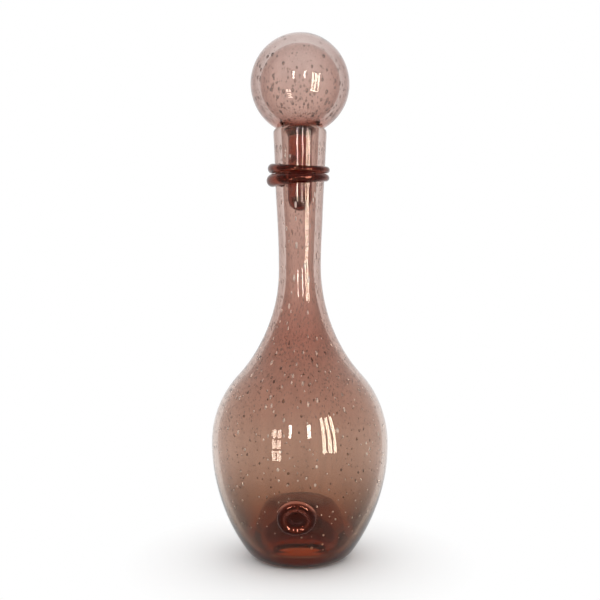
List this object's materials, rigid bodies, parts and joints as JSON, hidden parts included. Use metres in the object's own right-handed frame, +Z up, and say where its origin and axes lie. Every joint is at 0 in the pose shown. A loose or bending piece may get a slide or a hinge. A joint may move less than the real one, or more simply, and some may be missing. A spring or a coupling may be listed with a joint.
{
  "type": "stoppered glass bottle",
  "caption": "Bellied blown-glass decanter bottle with a slim neck, a glass thread wound below the lip, a pressed round seal and a lift-off hollow ball stopper on a solid peg.",
  "frame": {"origin": "on the bottle's axis, in the plane that its foot ring stands on", "axes": "+Z up along the neck, the seal facing -Y, +X to the right of the seal as it is looked at"},
  "size_m": [0.12, 0.1201, 0.3573],
  "materials": {
    "vessel_glass": "fire-polished blown glass with small air bubbles",
    "thread_glass": "fire-polished blown glass with small air bubbles",
    "ball_glass": "fire-polished blown glass with small air bubbles",
    "peg_glass": "fire-polished blown glass with small air bubbles"
  },
  "bodies": {
    "bottle": {"bottle_body": "vessel_glass", "neck_trail": "thread_glass", "seal": "thread_glass", "pontil_scar": "thread_glass"},
    "stopper": {"stopper_ball": "ball_glass", "stopper_peg": "peg_glass"}
  },
  "joints": [
    {"name": "stopper_lift", "type": "slide", "parent": "bottle", "child": "stopper", "axis": [0, 0, 1], "range_m": [0, 0.09]}
  ]
}
